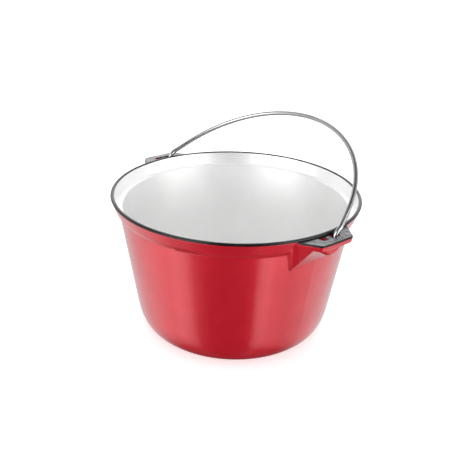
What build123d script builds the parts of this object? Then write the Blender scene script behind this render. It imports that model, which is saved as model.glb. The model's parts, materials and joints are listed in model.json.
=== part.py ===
from build123d import *
import math
import os

os.makedirs("parts", exist_ok=True)

# An open enamelled cast-iron pot with two lugs and a swinging wire bail.
# Frame: Z up with the ground foot on Z = 0, the lugs along X, the bail leaning towards +Y.

# ---------------------------------------------------------------- driving dimensions (mm)
height = 164.0
rim_radius = 140.0
rim_width = 4.2
rim_round = 1.7
lip_height = 13.9
lip_foot_radius = 135.4
wall_top_radius = 131.0
wall_top_drop = 20.0
wall_foot_radius = 114.0
wall_foot_height = 38.6
base_radius = 84.7
foot_radius = 80.0
foot_step = 0.5
wall_thickness = 4.2
floor_thickness = 5.5
ledge_drop = 13.6
ledge_outer_radius = 131.2
ledge_inner_radius = 128.3
ledge_round = 1.2
enamel = 0.4
clear_above = 10.0

lug_reach = 158.0
lug_half_width = 21.3
lug_root_x = 134.0
lug_root_half_width = 36.5
lug_drop = 2.2
lug_edge_height = 6.8
lug_corner_round = 8.0
lug_root_round = 12.0
lug_edge_round = 1.5
lug_root_inset = 1.8
ear_draft = 7.5
bracket_draft = 15.0
bracket_inset = 1.0
bracket_top_x = 148.5
bracket_drop = 42.0
bracket_foot_x = 122.5
bracket_overlap = 2.0
ridge_round = 1.5
ridge_steepness = 0.3
ear_inner_x = 125.0
boss_radius = 14.5
boss_front_x = 152.0
boss_round = 5.0
pick_margin = 1.0

wire_radius = 2.5
hook_radius = 7.75
hook_bend_radius = 12.0
hook_tip_angle = 230.0
hook_tip_round = wire_radius / 3
hook_x = 144.5
hinge_drop = 6.3
well_length = 25.0
well_width = 8.2
well_depth_radius = 11.0
well_corner_round = 2.0
bridge_width = 8.6
bridge_height = 6.4
bridge_round = 2.0
bridge_overlap = 1.5

bail_reach = 133.7
leg_lean = 20.0
leg_bend_radius = 12.0
bail_tilt = 57.0

black_rim_depth = 2.3
black_lug_depth = 3.8
black_inner_depth = 1.0

# ---------------------------------------------------------------- values that follow
hinge_z = height - hinge_drop
wall_top_z = height - wall_top_drop
lip_foot_z = height - lip_height
ledge_z = height - ledge_drop
lug_top_z = height - lug_drop
lug_edge_z = lug_top_z - lug_edge_height
bracket_foot_z = height - bracket_drop
bracket_top_z = lug_edge_z + bracket_overlap
above_rim = height + clear_above
round_z = height - rim_round
far_out = 2 * rim_radius
lug_root_circle = rim_radius - lug_root_inset
inner_foot_radius = wall_foot_radius - wall_thickness
inner_top_radius = ledge_inner_radius - ledge_round
inner_top_z = ledge_z - ledge_round
wall_run = (wall_top_radius - wall_foot_radius, wall_top_z - wall_foot_height)


# ---------------------------------------------------------------- shapes used more than once
def beside(point, run, distance):
    """The point moved `distance` to the left of a line that passes it along `run`."""
    length = math.hypot(run[0], run[1])
    return (point[0] - run[1] / length * distance, point[1] + run[0] / length * distance)


def turned_outside(skin):
    """The pot's outer envelope as a solid, drawn in by `skin` all round."""
    lip_run = (rim_radius - lip_foot_radius, lip_height - rim_round)
    base_edge = beside((base_radius, foot_step), (1, 0), skin)
    wall_foot = beside((wall_foot_radius, wall_foot_height), wall_run, skin)
    wall_top = beside((wall_top_radius, wall_top_z), wall_run, skin)
    lip_foot = beside((lip_foot_radius, lip_foot_z), lip_run, skin)
    with BuildPart() as turned:
        with BuildSketch(Plane.XZ):
            with BuildLine():
                Line((0, base_edge[1]), base_edge)
                Spline(base_edge, wall_foot, tangents=[(1, 0), wall_run])
                Line(wall_foot, wall_top)
                Spline(wall_top, lip_foot, tangents=[wall_run, lip_run])
                Line(lip_foot, (rim_radius - skin, round_z))
                CenterArc((rim_radius - rim_round, round_z), rim_round - skin, 0, 90)
                Polyline((rim_radius - rim_round, height - skin), (0, height - skin), (0, base_edge[1]))
            make_face()
        revolve(axis=Axis.Z)
        Cylinder(foot_radius, 2 * foot_step, align=(Align.CENTER, Align.CENTER, Align.MIN))
    return turned.part


def turned_inside(skin):
    """The space inside the pot, up past the rim, grown by `skin` all round."""
    inner_rim = rim_radius - rim_width
    inner_run = (inner_top_radius - inner_foot_radius, inner_top_z - wall_foot_height)
    floor_edge = beside((base_radius - wall_thickness, floor_thickness), (1, 0), -skin)
    wall_foot = beside((inner_foot_radius, wall_foot_height), inner_run, -skin)
    wall_top = beside((inner_top_radius, inner_top_z), inner_run, -skin)
    with BuildPart() as turned:
        with BuildSketch(Plane.XZ):
            with BuildLine():
                Line((0, floor_edge[1]), floor_edge)
                Spline(floor_edge, wall_foot, tangents=[(1, 0), inner_run])
                Polyline(
                    wall_foot,
                    wall_top,
                    beside((ledge_inner_radius, ledge_z), (1, 1), -skin),
                    beside((ledge_outer_radius, ledge_z), (1, 1), -skin),
                    (inner_rim + skin, round_z),
                )
                CenterArc((inner_rim + rim_round, round_z), rim_round - skin, 180, -90)
                Polyline(
                    (inner_rim + rim_round, height - skin),
                    (inner_rim + rim_round, above_rim),
                    (0, above_rim),
                    (0, floor_edge[1]),
                )
            make_face()
        revolve(axis=Axis.Z)
    return turned.part


def lug_plan(level, inset):
    """The lug seen from above, as a sketch at `level`, drawn in by `inset` all round."""
    # The lug's flared side runs into the rim through a hollow arc that touches both.
    side = Vector(lug_root_x - lug_reach, lug_root_half_width - lug_half_width, 0).normalized()
    outward = Vector(side.Y, -side.X, 0)
    side_distance = outward.dot(Vector(lug_reach, lug_half_width, 0)) + lug_root_round
    centre_distance = lug_root_circle + lug_root_round
    along = math.sqrt(centre_distance**2 - side_distance**2)
    arc_centre = outward * side_distance - side * along
    on_side = arc_centre - outward * lug_root_round
    on_rim = arc_centre * (lug_root_circle / centre_distance)
    halfway = ((on_side + on_rim) * 0.5 - arc_centre).normalized()
    arc_middle = arc_centre + halfway * lug_root_round
    with BuildSketch(Plane.XY.offset(level)) as plan:
        with BuildLine():
            Polyline(
                (on_side.X, -on_side.Y),
                (lug_reach, -lug_half_width),
                (lug_reach, lug_half_width),
                (on_side.X, on_side.Y),
            )
            ThreePointArc((on_side.X, on_side.Y), (arc_middle.X, arc_middle.Y), (on_rim.X, on_rim.Y))
            Polyline(
                (on_rim.X, on_rim.Y),
                (lug_root_x / 2, on_rim.Y),
                (lug_root_x / 2, -on_rim.Y),
                (on_rim.X, -on_rim.Y),
            )
            ThreePointArc((on_rim.X, -on_rim.Y), (arc_middle.X, -arc_middle.Y), (on_side.X, -on_side.Y))
        make_face()
        fillet(plan.vertices().group_by(Axis.X)[-1], radius=lug_corner_round)
        if inset > 0:
            offset(amount=-inset)
    return plan.sketch


def lug_block(skin):
    """The lug at +X: a flat ear, and the sloping bracket that carries it, drawn in by `skin`."""
    slope_run = (bracket_foot_x - bracket_top_x, bracket_foot_z - lug_edge_z)
    slope_top = beside((bracket_top_x, lug_edge_z), slope_run, -skin)
    slope_foot = beside((bracket_foot_x, bracket_foot_z), slope_run, -skin)
    with BuildPart() as ear:
        add(lug_plan(lug_top_z - skin, skin))
        extrude(amount=-(lug_edge_height - 2 * skin), taper=ear_draft)
        fillet(ear.edges().filter_by_position(Axis.X, ear_inner_x, far_out), radius=lug_edge_round - skin)
    with BuildPart() as bracket:
        add(lug_plan(bracket_top_z, bracket_inset + skin))
        extrude(amount=-(bracket_top_z - bracket_foot_z), taper=bracket_draft)
        with BuildSketch(Plane.XZ):
            with BuildLine():
                Polyline(
                    slope_top,
                    slope_foot,
                    (slope_foot[0], 0),
                    (far_out, 0),
                    (far_out, slope_top[1]),
                    close=True,
                )
            make_face()
        extrude(amount=rim_radius, both=True, mode=Mode.SUBTRACT)
        ridges = bracket.edges().filter_by_position(Axis.X, bracket_foot_x + 2 * pick_margin, far_out)
        lowest = bracket_foot_z + 2 * pick_margin
        ridges = ridges.filter_by_position(Axis.Z, lowest, lug_edge_z - pick_margin)
        fillet(ridges.filter_by(lambda edge: abs((edge % 0.5).Z) > ridge_steepness), radius=ridge_round)
    with BuildPart() as boss:
        with BuildSketch(Plane.YZ.offset(bracket_foot_x)):
            with Locations((0, hinge_z)):
                Circle(boss_radius - skin)
        extrude(amount=boss_front_x - skin - bracket_foot_x)
        split(bisect_by=Plane.XY.offset(bracket_top_z), keep=Keep.BOTTOM)
        front = boss.edges().filter_by_position(Axis.X, boss_front_x - pick_margin, far_out)
        fillet(front.filter_by_position(Axis.Z, 0, bracket_top_z - pick_margin), radius=boss_round - skin)
    with BuildPart() as block:
        add(ear.part)
        add(bracket.part)
        add(boss.part)
    return block.part


def hook_well(skin):
    """The slot the hook swings in, at +X, grown by `skin`: straight at the top, round below."""
    with BuildPart() as slot:
        with BuildSketch(Plane.YZ.offset(hook_x)):
            with Locations((0, hinge_z)):
                Circle(well_depth_radius + skin)
                Rectangle(well_length + 2 * skin, 2 * hinge_drop, align=(Align.CENTER, Align.MIN))
        extrude(amount=well_width / 2 + skin, both=True)
        upright = slot.edges().filter_by(Axis.Z)
        fillet(upright, radius=well_corner_round + skin)
    return slot.part


def hook_bridge(skin):
    """The bar across the slot that carries the hook, drawn in by `skin`."""
    with BuildPart() as bar:
        with BuildSketch(Plane.YZ.offset(hook_x)):
            with Locations((0, hinge_z)):
                RectangleRounded(bridge_width - 2 * skin, bridge_height - 2 * skin, bridge_round - skin)
        extrude(amount=well_width / 2 + bridge_overlap, both=True)
    return bar.part


def casting(skin):
    """The pot with both lugs as one filled body, drawn in by `skin`; its inside is cut later."""
    with BuildPart() as body:
        add(turned_outside(skin))
        add(lug_block(skin))
        add(mirror(lug_block(skin), about=Plane.YZ, mode=Mode.PRIVATE))
        add(hook_well(skin), mode=Mode.SUBTRACT)
        add(mirror(hook_well(skin), about=Plane.YZ, mode=Mode.PRIVATE), mode=Mode.SUBTRACT)
        add(hook_bridge(skin))
        add(mirror(hook_bridge(skin), about=Plane.YZ, mode=Mode.PRIVATE))
    return body.part


coated_outside = casting(0)
iron_outside = casting(enamel)
coated_inside = turned_inside(0)
iron_inside = turned_inside(enamel)

# ---------------------------------------------------------------- iron casting
with BuildPart() as pot_casting:
    add(iron_outside)
    add(iron_inside, mode=Mode.SUBTRACT)

pot_casting.part.label = "pot_casting"
export_step(pot_casting.part, "parts/pot_casting.step")

# ---------------------------------------------------------------- enamel: one skin cut into three
with BuildPart() as enamel_skin:
    add(coated_outside)
    add(coated_inside, mode=Mode.SUBTRACT)
    add(pot_casting.part, mode=Mode.SUBTRACT)

with BuildPart() as inside_enamel:
    add(enamel_skin.part)
    add(iron_inside, mode=Mode.INTERSECT)
    with Locations((0, 0, height - black_inner_depth)):
        Box(far_out, far_out, height, align=(Align.CENTER, Align.CENTER, Align.MIN), mode=Mode.SUBTRACT)

inside_enamel.part.label = "inside_enamel"
export_step(inside_enamel.part, "parts/inside_enamel.step")

with BuildPart() as black_zone:
    with Locations((0, 0, height - black_lug_depth)):
        Box(2 * far_out, far_out, height, align=(Align.CENTER, Align.CENTER, Align.MIN))
    with Locations((0, 0, height - black_rim_depth)):
        below = (Align.CENTER, Align.CENTER, Align.MAX)
        Cylinder(rim_radius + enamel, height, align=below, mode=Mode.SUBTRACT)

with BuildPart() as rim_enamel:
    add(enamel_skin.part)
    add(black_zone.part, mode=Mode.INTERSECT)
    add(inside_enamel.part, mode=Mode.SUBTRACT)

rim_enamel.part.label = "rim_enamel"
export_step(rim_enamel.part, "parts/rim_enamel.step")

# The skin in each hook well is cut off from the rest by the black edge round its mouth.
with BuildPart() as right_well_enamel:
    add(enamel_skin.part)
    add(hook_well(2 * enamel), mode=Mode.INTERSECT)
    add(rim_enamel.part, mode=Mode.SUBTRACT)

right_well_enamel.part.label = "right_well_enamel"
export_step(right_well_enamel.part, "parts/right_well_enamel.step")

with BuildPart() as left_well_enamel:
    add(mirror(right_well_enamel.part, about=Plane.YZ, mode=Mode.PRIVATE))

left_well_enamel.part.label = "left_well_enamel"
export_step(left_well_enamel.part, "parts/left_well_enamel.step")

with BuildPart() as outside_enamel:
    add(enamel_skin.part)
    add(rim_enamel.part, mode=Mode.SUBTRACT)
    add(inside_enamel.part, mode=Mode.SUBTRACT)
    add(right_well_enamel.part, mode=Mode.SUBTRACT)
    add(left_well_enamel.part, mode=Mode.SUBTRACT)

outside_enamel.part.label = "outside_enamel"
export_step(outside_enamel.part, "parts/outside_enamel.step")

# ---------------------------------------------------------------- wire bail
# Drawn upright with the hinge axis on X, one half from tip to crown, then mirrored and tilted.
lean = math.radians(leg_lean)
bend_top = math.sqrt((hook_radius + hook_bend_radius) ** 2 - hook_bend_radius**2)
join_angle = math.degrees(math.atan2(hook_bend_radius, bend_top))
leg_start = (
    hook_x - leg_bend_radius * (1 - math.cos(lean)),
    bend_top + leg_bend_radius * math.sin(lean),
)
crown_radius = (
    leg_start[0] * math.cos(lean) - (bail_reach - leg_start[1]) * math.sin(lean)
) / (1 - math.sin(lean))
crown_centre = bail_reach - crown_radius

with BuildPart() as bail_half:
    with BuildLine(Plane.YZ.offset(hook_x)) as hook_line:
        hook_arc = CenterArc((0, 0), hook_radius, 90 - join_angle, join_angle - hook_tip_angle)
        bend_arc = CenterArc((hook_bend_radius, bend_top), hook_bend_radius, 180, 90 - join_angle)
    with BuildLine(Plane.XZ) as leg_line:
        lean_arc = CenterArc((hook_x - leg_bend_radius, bend_top), leg_bend_radius, 0, leg_lean)
        crown_arc = CenterArc((0, crown_centre), crown_radius, leg_lean, 90 - leg_lean)
        Line(lean_arc @ 1, crown_arc @ 0)
    with BuildSketch(Plane(origin=crown_arc @ 1, z_dir=(1, 0, 0))):
        Circle(wire_radius)
    sweep(path=Wire(hook_line.edges() + leg_line.edges()))
    tip = bail_half.faces().filter_by(GeomType.PLANE).sort_by(Axis.Z)[0]
    fillet(tip.edges(), radius=hook_tip_round)

with BuildPart() as bail:
    with Locations(Location((0, 0, hinge_z), (-bail_tilt, 0, 0))):
        add(bail_half.part)
        add(mirror(bail_half.part, about=Plane.YZ, mode=Mode.PRIVATE))

bail.part.label = "bail"
export_step(bail.part, "parts/bail.step")
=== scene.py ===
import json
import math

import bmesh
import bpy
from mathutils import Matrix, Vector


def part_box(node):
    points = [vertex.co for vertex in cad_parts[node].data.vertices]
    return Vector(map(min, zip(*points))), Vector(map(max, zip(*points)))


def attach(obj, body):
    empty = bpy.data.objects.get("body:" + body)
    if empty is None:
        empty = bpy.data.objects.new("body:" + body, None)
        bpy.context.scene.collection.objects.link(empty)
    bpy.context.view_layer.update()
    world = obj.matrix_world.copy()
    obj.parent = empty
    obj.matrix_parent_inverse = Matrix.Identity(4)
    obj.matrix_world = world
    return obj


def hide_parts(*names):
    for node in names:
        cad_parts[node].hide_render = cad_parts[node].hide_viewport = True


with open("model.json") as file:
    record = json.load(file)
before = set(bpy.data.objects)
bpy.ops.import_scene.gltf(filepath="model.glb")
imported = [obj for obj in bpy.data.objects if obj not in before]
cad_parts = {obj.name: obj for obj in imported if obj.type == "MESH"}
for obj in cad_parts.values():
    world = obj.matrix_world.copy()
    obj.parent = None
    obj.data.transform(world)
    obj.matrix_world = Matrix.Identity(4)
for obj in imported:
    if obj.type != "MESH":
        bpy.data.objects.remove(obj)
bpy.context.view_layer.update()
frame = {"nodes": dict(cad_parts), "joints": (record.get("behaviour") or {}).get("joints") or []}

# %% [markdown]
# # An enamelled camp pot with a wire bail
#
# The pot is one iron casting under three colours of glass enamel, and a steel
# wire bail that hooks into two lugs. Its shapes come from the CAD frame, in
# metres, with Z up and the pot's foot on Z = 0. This lesson gives each piece
# its finish, makes the wire anew, and lights the whole as in a studio.

MM = 0.001
rim_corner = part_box("rim_enamel")[1]
rim_top = rim_corner.z
rim_radius = rim_corner.y
print("rim", round(2000 * rim_radius), "mm across,", round(1000 * rim_top), "mm high")

# %% [markdown]
# ## Helpers for finishes
#
# Every finish here is a small node tree under one Principled shader. Enamel
# and steel are never one flat colour: their colour, gloss and surface waver a
# little. Written out node by node that would be long, so a class keeps it
# short. It adds nodes and wires their inputs, and it makes noise of a given
# size in millimetres, measured on the object, so no unwrapping is needed.

# %% Helpers for node trees
class Finish:
    """A material and the nodes that make it up."""

    def __init__(self, name):
        self.material = bpy.data.materials.new(name)
        self.material.use_nodes = True
        self.tree = self.material.node_tree
        self.shader = self.tree.nodes["Principled BSDF"]
        self.place = self.add("ShaderNodeTexCoord").outputs["Object"]

    def add(self, kind, settings=None, **inputs):
        node = self.tree.nodes.new(kind)
        for key, value in (settings or {}).items():
            setattr(node, key, value)
        for key, value in inputs.items():
            self.feed(node.inputs[key.replace("_", " ")], value)
        return node

    def feed(self, socket, value):
        if isinstance(value, bpy.types.NodeSocket):
            self.tree.links.new(value, socket)
        else:
            socket.default_value = value

    def noise(self, size_mm, detail=2.0, place=None):
        """Soft noise from 0 to 1 whose lumps are about size_mm across."""
        where = place or self.place
        node = self.add("ShaderNodeTexNoise", Scale=1000 / size_mm, Detail=detail, Vector=where)
        return node.outputs["Fac"]

    def between(self, value, low, high, start=0.3, end=0.7):
        """value from start..end stretched to low..high."""
        node = self.add("ShaderNodeMapRange", Value=value)
        for key, number in (("From Min", start), ("From Max", end), ("To Min", low), ("To Max", high)):
            node.inputs[key].default_value = number
        return node.outputs["Result"]

    def blend(self, share, first, second):
        """The colour first where share is 0, second where it is 1."""
        node = self.add("ShaderNodeMix", {"data_type": "RGBA"})
        self.feed(node.inputs["Factor"], share)
        self.feed(node.inputs["A"], first)
        self.feed(node.inputs["B"], second)
        return node.outputs["Result"]

    def bump(self, height, depth_mm, under=None):
        """A surface that waves by depth_mm, on top of another such surface."""
        node = self.add("ShaderNodeBump", Height=height, Distance=depth_mm * MM)
        if under is not None:
            self.feed(node.inputs["Normal"], under)
        return node.outputs["Normal"]

    def paint(self, **inputs):
        for key, value in inputs.items():
            self.feed(self.shader.inputs[key.replace("_", " ")], value)
        return self.material


def dress(material, *nodes):
    """Gives CAD nodes a finish in their own material slots."""
    for name in nodes:
        slots = frame["nodes"][name].material_slots
        for each in slots:
            each.material = material
        print(name, "wears", material.name)


# %% [markdown]
# ## Red enamel
#
# The outside is clear red glass melted onto the iron. Light meets it twice:
# once on the glossy glass face, and once on the bright pigment below, which
# sends it back red and softer. A clear coat over a rougher, partly metallic
# base gives those two layers. The glass has a slight orange peel, a few deeper
# patches where it flowed thick, and rounds off every edge that it runs over.

# %% Red enamel
red = Finish("red_enamel")
clouds = red.noise(42.0, 3.0)
flow = red.noise(14.0, 2.0)
peel = red.noise(2.6, 2.0)
grain = red.noise(0.55, 1.0)
body_red = red.blend(red.between(clouds, 0.0, 1.0), (0.52, 0.013, 0.026, 1), (0.59, 0.018, 0.033, 1))
body_red = red.blend(red.between(grain, 0.0, 0.35, 0.62, 0.75), body_red, (0.62, 0.03, 0.035, 1))
soft_edge = red.add("ShaderNodeBevel", {"samples": 6}, Radius=1.6 * MM).outputs["Normal"]
skin = red.bump(flow, 0.10, soft_edge)
skin = red.bump(peel, 0.012, skin)
red.paint(
    Base_Color=body_red,
    Metallic=0.38,
    Roughness=red.between(flow, 0.30, 0.38),
    Specular_IOR_Level=0.05,
    Coat_Weight=1.0,
    Coat_Roughness=0.08,
    Coat_IOR=1.47,
    Normal=skin,
    Coat_Normal=skin,
)
dress(red.material, "outside_enamel", "right_well_enamel", "left_well_enamel")

# %% [markdown]
# ## White enamel
#
# The lining is opaque white glass, a trace warm, that is easy to see into and
# to wash. It could share the red's recipe, but its light is softer, so its coat
# is thinner and duller. It reads as white china: nearly even, with faint greyer clouds, scattered
# dark pinpricks under the glass and a fine ripple that breaks up highlights.

# %% White enamel
white = Finish("white_enamel")
haze = white.noise(55.0, 3.0)
ripple = white.noise(5.0, 2.0)
specks = white.noise(1.1, 0.0)
lining = white.blend(white.between(haze, 0.0, 1.0), (0.85, 0.85, 0.848, 1), (0.90, 0.90, 0.897, 1))
lining = white.blend(white.between(specks, 0.0, 0.5, 0.79, 0.84), lining, (0.35, 0.34, 0.33, 1))
white.paint(
    Base_Color=lining,
    Metallic=0.4,
    Roughness=white.between(ripple, 0.36, 0.42),
    Coat_Weight=0.6,
    Coat_Roughness=0.12,
    Normal=white.bump(ripple, 0.02),
)
dress(white.material, "inside_enamel")

# %% [markdown]
# ## Black enamel
#
# The rim and the tops of the lugs are dipped in black, because that glass is
# the toughest and hides chips. On the thin rim it is a plain deep black. The
# lugs' flat tops get a painted reflection, a grey mottle painted into the colour,
# while their rounded edges stay black. So the painted reflection is laid only
# where the surface faces up and lies further out than the rim.

# %% Black enamel
black = Finish("black_enamel")
mottle = black.noise(6.0, 3.0)
dip = black.noise(3.2, 2.0)
soft_rim = black.add("ShaderNodeBevel", {"samples": 6}, Radius=0.8 * MM).outputs["Normal"]
blotches = black.between(mottle, 0.0, 1.0)
sharper_blotches = black.between(mottle, 0.0, 1.0, 0.35, 0.65)
glass = black.blend(blotches, (0.003, 0.003, 0.0035, 1), (0.009, 0.009, 0.010, 1))
# Painted reflection: a grey mottle for the lug tops that stands in for the bright studio seen in their
# glass.
painted_reflection_grey = black.blend(sharper_blotches, (0.055, 0.056, 0.06, 1), (0.20, 0.20, 0.205, 1))
place = black.add("ShaderNodeSeparateXYZ", Vector=black.place)
facing = black.add("ShaderNodeSeparateXYZ", Vector=black.add("ShaderNodeNewGeometry").outputs["Normal"])
outward = black.add("ShaderNodeMath", {"operation": "ABSOLUTE"}, Value=place.outputs["X"]).outputs[0]
on_lug = black.between(outward, 0.0, 1.0, rim_radius + 0.5 * MM, rim_radius + 2.5 * MM)
faces_up = black.between(facing.outputs["Z"], 0.0, 1.0, 0.93, 0.99)
# Painted reflection mask: grey only where the surface faces up and lies further out than the rim.
painted_reflection_mask = black.add("ShaderNodeMath", {"operation": "MULTIPLY"}).outputs[0]
black.feed(painted_reflection_mask.node.inputs[0], on_lug)
black.feed(painted_reflection_mask.node.inputs[1], faces_up)
black.paint(
    Base_Color=black.blend(painted_reflection_mask, glass, painted_reflection_grey),
    Roughness=black.between(mottle, 0.25, 0.4),
    Specular_IOR_Level=0.12,
    Coat_Weight=0.3,
    Coat_Roughness=0.05,
    Normal=black.bump(dip, 0.03, soft_rim),
)
dress(black.material, "rim_enamel")

# %% [markdown]
# ## Bare iron foot
#
# Only the foot shows iron. It is ground flat after casting, which leaves fine
# rings round the pot's axis and open pores between them. Rings come from a
# wave texture that runs outward from the axis, and pores from noise.

# %% Bare iron
iron = Finish("ground_iron")
ring_kind = {"wave_type": "RINGS", "rings_direction": "Z"}
ring_fineness = 260.0
rings = iron.add("ShaderNodeTexWave", ring_kind, Scale=ring_fineness, Distortion=1.2, Vector=iron.place)
pores = iron.noise(1.4, 4.0)
pitted = iron.between(pores, 0.0, 1.0, 0.35, 0.65)
ground = iron.between(rings.outputs["Fac"], 0.0, 0.35, 0.0, 1.0)
shade = iron.blend(pitted, (0.035, 0.033, 0.032, 1), (0.12, 0.115, 0.11, 1))
shade = iron.blend(ground, shade, (0.2, 0.195, 0.19, 1))
iron.paint(
    Base_Color=shade,
    Metallic=0.85,
    Roughness=iron.between(pores, 0.38, 0.62),
    Normal=iron.bump(pores, 0.08, iron.bump(rings.outputs["Fac"], 0.02)),
)
dress(iron.material, "pot_casting")

# %% [markdown]
# ## The wire bail
#
# The bail is one length of bright steel rod, bent in three stages: a hook at
# each end, a lean inward, and one long bow over the top. A curve with a bevel
# would do, but the drawn lines of the steel have to run along the wire. So a
# helper walks the same line as the CAD, sets a ring of points at each step and
# stores how far along and how far round each one is, for the finish to use.

# %% The line of the bail, drawn upright and then leaned over
wire_radius = 2.5 * MM
hook_radius = 7.75 * MM
hook_bend = 12.0 * MM
hook_x = 144.5 * MM
leg_bend = 12.0 * MM
leg_lean = math.radians(20.0)
hook_tip = math.radians(230.0)
bail_reach = 133.7 * MM
hinge = Vector(frame["joints"][0]["pos_m"])
bail_tilt = math.radians(57.0)
bend_step = 0.8 * MM
bow_step = 1.6 * MM


def arc(centre, across, up, radius, start, sweep, step):
    """Points on an arc that starts at angle start and turns by sweep."""
    count = max(4, math.ceil(abs(sweep) * radius / step))
    angles = [start + sweep * i / count for i in range(count + 1)]
    return [centre + radius * (math.cos(a) * across + math.sin(a) * up) for a in angles]


X, Y, Z = Vector((1, 0, 0)), Vector((0, 1, 0)), Vector((0, 0, 1))
bend_top = math.sqrt((hook_radius + hook_bend) ** 2 - hook_bend**2)
join = math.atan2(hook_bend, bend_top)
lean_across = math.cos(leg_lean)
lean_up = math.sin(leg_lean)
leg_foot = Vector((hook_x - leg_bend * (1 - lean_across), 0, bend_top + leg_bend * lean_up))
crown_radius = (leg_foot.x * lean_across - (bail_reach - leg_foot.z) * lean_up) / (1 - lean_up)
quarter = math.pi / 2
half = arc(X * hook_x, Y, Z, hook_radius, quarter - hook_tip, hook_tip - join, bend_step)
bend_centre = Vector((hook_x, hook_bend, bend_top))
half += arc(bend_centre, Y, Z, hook_bend, 3 * quarter - join, join - quarter, bend_step)[1:]
leg_centre = Vector((hook_x - leg_bend, 0, bend_top))
half += arc(leg_centre, X, Z, leg_bend, 0.0, leg_lean, bend_step)[1:]
half += arc(Z * (bail_reach - crown_radius), X, Z, crown_radius, leg_lean, quarter - leg_lean, bow_step)
tilt = Matrix.Translation(hinge) @ Matrix.Rotation(-bail_tilt, 4, "X")
upright = half + [Vector((-p.x, p.y, p.z)) for p in reversed(half[:-1])]
line = [tilt @ p for p in upright]
print("the bail's line has", len(line), "stations; crown radius", round(1000 * crown_radius, 1), "mm")

# %% [markdown]
# ## A rod along a line
#
# The rings must not twist as they go along the line, or the drawn lines of the
# steel would spiral. So each ring's frame is the last one, turned only as much
# as the line itself turns. The ends are rounded by a few smaller rings.

# %% The rod and its unrolled map
def rod(name, line, radius, sides=24, tip=1.0 * MM):
    """A round rod along a line of points, with rounded ends and a map of length by turn."""
    first = (line[1] - line[0]).normalized()
    last = (line[-1] - line[-2]).normalized()
    round_in = [(tip * (1 - math.cos(a)), radius - tip + tip * math.sin(a)) for a in (0.0, 0.4, 0.8, 1.2)]
    stations = [(line[0] + first * inset, girth) for inset, girth in round_in]
    stations += [(p, radius) for p in line[2:-2]]
    stations += [(line[-1] - last * inset, girth) for inset, girth in reversed(round_in)]
    mesh = bmesh.new()
    unroll = mesh.loops.layers.uv.new("unrolled")
    side = first.orthogonal().normalized()
    rings, along, travel = [], [], 0.0
    for i, (centre, girth) in enumerate(stations):
        ahead = stations[min(i + 1, len(stations) - 1)][0] - stations[max(i - 1, 0)][0]
        ahead.normalize()
        side = (side - ahead * side.dot(ahead)).normalized()
        other = ahead.cross(side)
        if i:
            travel += (centre - stations[i - 1][0]).length
        along.append(travel)
        turns = [2 * math.pi * k / sides for k in range(sides)]
        spokes = [math.cos(t) * side + math.sin(t) * other for t in turns]
        rings.append([mesh.verts.new(centre + girth * spoke) for spoke in spokes])
    for i in range(len(rings) - 1):
        for k in range(sides):
            after = (k + 1) % sides
            face = mesh.faces.new((rings[i][k], rings[i][after], rings[i + 1][after], rings[i + 1][k]))
            places = ((i, k), (i, k + 1), (i + 1, k + 1), (i + 1, k))
            for corner, (row, turn) in zip(face.loops, places):
                corner[unroll].uv = (along[row], 2 * math.pi * radius * turn / sides)
    mesh.faces.new(list(reversed(rings[0])))
    mesh.faces.new(rings[-1])
    bmesh.ops.recalc_face_normals(mesh, faces=mesh.faces)
    data = bpy.data.meshes.new(name)
    mesh.to_mesh(data)
    mesh.free()
    for face in data.polygons:
        face.use_smooth = len(face.vertices) == 4
    made = bpy.data.objects.new(name, data)
    bpy.context.scene.collection.objects.link(made)
    print(name, "is", round(1000 * travel), "mm of rod in", len(data.polygons), "faces")
    return made


bail_wire = rod("bail_wire", line, wire_radius)

# %% [markdown]
# ## Drawn steel
#
# Steel rod is pulled through a die, which leaves fine lines along it. The
# unrolled map gives length by turn, so noise stretched along the length gives
# those lines in colour, gloss and height. A slower noise adds duller patches
# where hands and the lugs have rubbed it.

# %% Steel wire
steel = Finish("drawn_steel")
unrolled = steel.add("ShaderNodeUVMap", {"uv_map": "unrolled"}).outputs["UV"]
drawn_out = steel.add("ShaderNodeMapping", Vector=unrolled, Scale=(18.0, 1000.0, 1.0)).outputs["Vector"]
lines = steel.add("ShaderNodeTexNoise", Scale=2.4, Detail=3.0, Vector=drawn_out).outputs["Fac"]
rubbed = steel.noise(16.0, 2.0)
steel_colour = steel.blend(steel.between(lines, 0.0, 1.0), (0.26, 0.26, 0.265, 1), (0.50, 0.50, 0.505, 1))
steel.paint(
    Base_Color=steel.blend(steel.between(rubbed, 0.0, 0.5), steel_colour, (0.34, 0.34, 0.35, 1)),
    Metallic=1.0,
    Roughness=steel.between(lines, 0.16, 0.32),
    Normal=steel.bump(lines, 0.03),
)
bail_wire.data.materials.append(steel.material)
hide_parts("bail")
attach(bail_wire, "bail")

# %% [markdown]
# ## Floor
#
# A sheet of pale card, so wide that its edge is lost in the distance. It has a
# trace of tooth, so it is paper and not a void. Red light from the pot would
# tint it, so part of its paleness is a glow of its own, stronger to the viewer
# than to the pot. Gloss on the pot comes from the studio around it, so the card
# is kept out of reflections.

# %% Floor
card = Finish("pale_card")
tooth = card.noise(3.0, 2.0)
floor_reach = 30.0
seen_directly = card.add("ShaderNodeLightPath").outputs["Is Camera Ray"]
card.paint(
    Base_Color=card.blend(tooth, (0.80, 0.80, 0.80, 1), (0.83, 0.83, 0.83, 1)),
    Roughness=0.9,
    Emission_Color=(1, 1, 1, 1),
    Emission_Strength=card.between(seen_directly, 0.22, 0.58, 0.0, 1.0),
    Specular_IOR_Level=0.1,
    Normal=card.bump(tooth, 0.02),
)
sheet = bmesh.new()
bmesh.ops.create_grid(sheet, x_segments=8, y_segments=8, size=floor_reach)
floor_data = bpy.data.meshes.new("floor")
sheet.to_mesh(floor_data)
sheet.free()
floor = bpy.data.objects.new("floor", floor_data)
bpy.context.scene.collection.objects.link(floor)
floor.data.materials.append(card.material)
floor.visible_glossy = False
print("floor", 2 * floor_reach, "m across")

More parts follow.
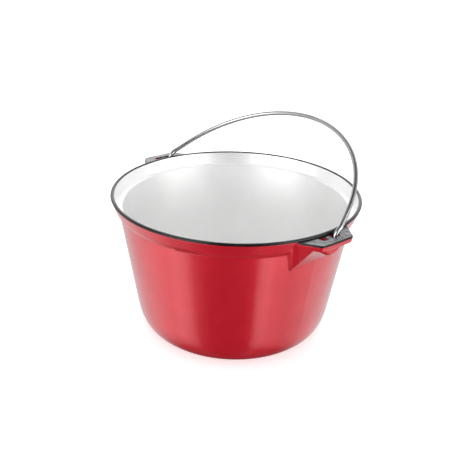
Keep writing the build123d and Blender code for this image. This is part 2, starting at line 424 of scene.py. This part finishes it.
# %% [markdown]
# ## Studio
#
# Glossy glass shows whatever stands round it, so the studio is designed as
# much as lit: a white room, with a tall bright panel each side of the viewer
# and a dim gap between them. The panels are painted into the surroundings by
# their heading round the pot. Plain light for everything else is even white.

# %% Camera heading and the surroundings
camera_place = Vector((0.5615, -0.4695, 0.4512))
heading = math.atan2(camera_place.y, camera_place.x)
world = bpy.data.worlds.new("studio")
bpy.context.scene.world = world
world.use_nodes = True
sky = world.node_tree
sky.nodes.clear()


def sky_node(kind, settings=None, **inputs):
    node = sky.nodes.new(kind)
    for key, value in (settings or {}).items():
        setattr(node, key, value)
    for key, value in inputs.items():
        socket = node.inputs[key.replace("_", " ")]
        if isinstance(value, bpy.types.NodeSocket):
            sky.links.new(value, socket)
        else:
            socket.default_value = value
    return node


direction = sky_node("ShaderNodeTexCoord").outputs["Generated"]
turned = sky_node("ShaderNodeMapping", Vector=direction, Rotation=(0, 0, -heading)).outputs["Vector"]
parts = sky_node("ShaderNodeSeparateXYZ", Vector=turned)


def sky_math(operation, first, second=None):
    node = sky.nodes.new("ShaderNodeMath")
    node.operation = operation
    for socket, value in zip(node.inputs, (first, second)):
        if isinstance(value, bpy.types.NodeSocket):
            sky.links.new(value, socket)
        elif value is not None:
            socket.default_value = value
    return node.outputs[0]


def sky_levels(angle, widest, levels):
    """Brightness by angle: levels pairs degrees, from -widest to widest, with how bright it is there."""
    share = sky_math("MULTIPLY_ADD", sky_math("DEGREES", angle), 0.5 / widest)
    share.node.inputs[2].default_value = 0.5
    shading = sky_node("ShaderNodeValToRGB", Fac=share)
    ramp = shading.color_ramp
    while len(ramp.elements) > 1:
        ramp.elements.remove(ramp.elements[-1])
    for i, (degrees, level) in enumerate(levels):
        place = (degrees / widest + 1) / 2
        stop = ramp.elements.new(place) if i else ramp.elements[0]
        stop.position = place
        stop.color = (level, level, level, 1)
    return shading.outputs["Color"]


round_about = sky_math("ARCTAN2", parts.outputs["Y"], parts.outputs["X"])
up_angle = sky_math("ARCSINE", parts.outputs["Z"])
low_panels = [
    (-180, 0.6), (-125, 1.0), (-100, 1.3), (-80, 1.5), (-68, 2.1), (-56, 2.0),
    (-44, 0.5), (-30, 0.05), (-16, 0.0), (14, 0.0), (24, 0.2), (32, 2.0),
    (40, 2.3), (50, 1.5), (70, 1.1), (110, 1.2), (180, 0.6),
]
high_panels = [
    (-180, 2.6), (-140, 1.2), (-76, 1.0), (-56, 6.0), (-30, 6.0), (-20, 0.6),
    (-14, 0.1), (22, 0.1), (36, 0.8), (46, 6.0), (72, 6.0), (88, 1.0),
    (140, 1.2), (180, 2.6),
]
below_eye = [(-90, 0.05), (-62, 0.1), (-48, 0.8), (-40, 1.0), (-5, 1.0), (5, 0.0), (90, 0.0)]
above_eye = [(-90, 0.0), (-5, 0.0), (5, 1.0), (38, 0.9), (52, 0.15), (90, 0.08)]
low_glow = sky_levels(round_about, 180, low_panels)
high_glow = sky_levels(round_about, 180, high_panels)
from_below = sky_levels(up_angle, 90, below_eye)
from_above = sky_levels(up_angle, 90, above_eye)
low = sky_math("MULTIPLY", low_glow, from_below)
high = sky_math("MULTIPLY", high_glow, from_above)
glow = sky_math("ADD", low, high)
plain = sky_node("ShaderNodeBackground", Color=(1, 1, 1, 1), Strength=0.72)
seen_in_gloss = sky_node("ShaderNodeBackground", Color=(1, 1, 1, 1), Strength=glow)
is_gloss = sky_node("ShaderNodeLightPath").outputs["Is Glossy Ray"]
mix = sky_node("ShaderNodeMixShader", Fac=is_gloss)
sky.links.new(plain.outputs[0], mix.inputs[1])
sky.links.new(seen_in_gloss.outputs[0], mix.inputs[2])
out = sky_node("ShaderNodeOutputWorld")
sky.links.new(mix.outputs[0], out.inputs["Surface"])
print("studio turned to heading", round(math.degrees(heading)), "degrees, with", len(sky.nodes), "nodes")

# %% [markdown]
# ## Soft boxes
#
# The even white room lights the pot without shape. Two large soft boxes give it
# some: a low one at the viewer's side lifts the red wall, and one high behind
# the pot lights the lining and the lugs. They would show as hard rectangles in
# the glass, so they light the pot but are kept out of view and reflections.

# %% Soft boxes
pot_middle = Vector((0, 0, 80 * MM))


def soft_box(name, side_degrees, height, distance, width, tall, watts):
    """A soft box at a heading measured from the viewer, aimed at the pot."""
    angle = heading + math.radians(side_degrees)
    lamp = bpy.data.lights.new(name, "AREA")
    lamp.shape = "RECTANGLE"
    lamp.size, lamp.size_y, lamp.energy = width, tall, watts
    lamp_object = bpy.data.objects.new(name, lamp)
    lamp_object.location = (distance * math.cos(angle), distance * math.sin(angle), height)
    aim = pot_middle - lamp_object.location
    lamp_object.rotation_euler = aim.to_track_quat("-Z", "Y").to_euler()
    lamp_object.visible_camera = False
    lamp_object.visible_glossy = False
    bpy.context.scene.collection.objects.link(lamp_object)
    print(name, "at", [round(v, 2) for v in lamp_object.location], "m,", watts, "W")


soft_box("front_box", -5, 0.25, 1.5, 1.2, 0.5, 7)
soft_box("top_box", 180, 1.6, 0.2, 1.4, 1.4, 13)

# %% [markdown]
# ## Camera
#
# The camera stands above the pot, a little round from one lug, and looks down
# into the bowl with a slight roll. Its place, the heading and dip of its look,
# and its roll are set one by one, because each can then be changed alone.

# %% Camera
lens = bpy.data.cameras.new("viewer")
lens.sensor_width = 36.0
lens.lens = 53.44
camera = bpy.data.objects.new("viewer", lens)
bpy.context.scene.collection.objects.link(camera)
look_heading = math.radians(140.1)
look_down = math.radians(25.1)
camera_roll = math.radians(1.95)
level_share = math.cos(look_down)
look_x = math.cos(look_heading) * level_share
look_y = math.sin(look_heading) * level_share
look = Vector((look_x, look_y, -math.sin(look_down)))
facing = look.to_track_quat("-Z", "Y").to_matrix().to_4x4()
camera.matrix_world = Matrix.Translation(camera_place) @ facing @ Matrix.Rotation(camera_roll, 4, "Z")
bpy.context.scene.camera = camera
bpy.context.scene.view_settings.view_transform = "Standard"
print("camera at", [round(v, 3) for v in camera_place], "m")
